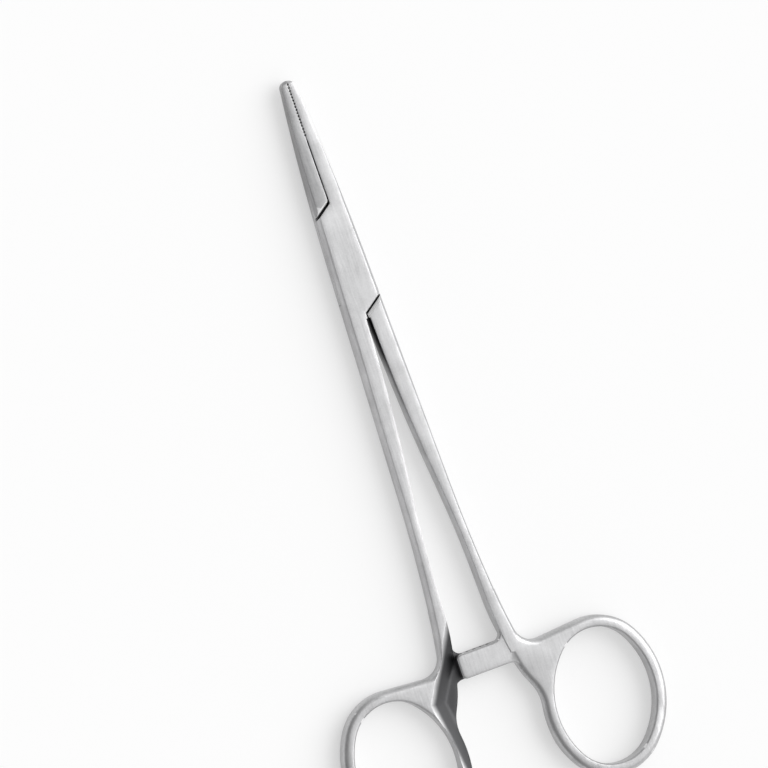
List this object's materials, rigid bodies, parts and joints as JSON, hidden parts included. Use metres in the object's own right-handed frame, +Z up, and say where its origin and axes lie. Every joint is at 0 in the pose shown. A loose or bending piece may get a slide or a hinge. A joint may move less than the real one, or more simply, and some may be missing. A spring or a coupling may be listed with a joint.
{
  "type": "hemostat forceps",
  "caption": "Straight locking hemostat forceps with half-serrated jaws, a box lock, oval finger rings and a ratchet between the shanks.",
  "frame": {"origin": "where the pivot pin's axis meets the box lock's flat underside, the face that the forceps rest on", "axes": "+Y along the instrument towards the jaw tips, +X to the right seen from above, +Z up along the pivot pin's axis"},
  "size_m": [0.072, 0.16, 0.0047],
  "materials": {
    "forged_steel": "satin, bead blasted",
    "pin_steel": "satin, ground flush"
  },
  "bodies": {
    "female_body": {"female_half": "forged_steel", "pivot_pin": "pin_steel"},
    "male_body": {"male_half": "forged_steel"}
  },
  "joints": [
    {"name": "box_lock", "type": "hinge", "parent": "female_body", "child": "male_body", "pos_m": [0, 0, 0.00235], "axis": [0, 0, 1], "range_deg": [0, 60]}
  ]
}
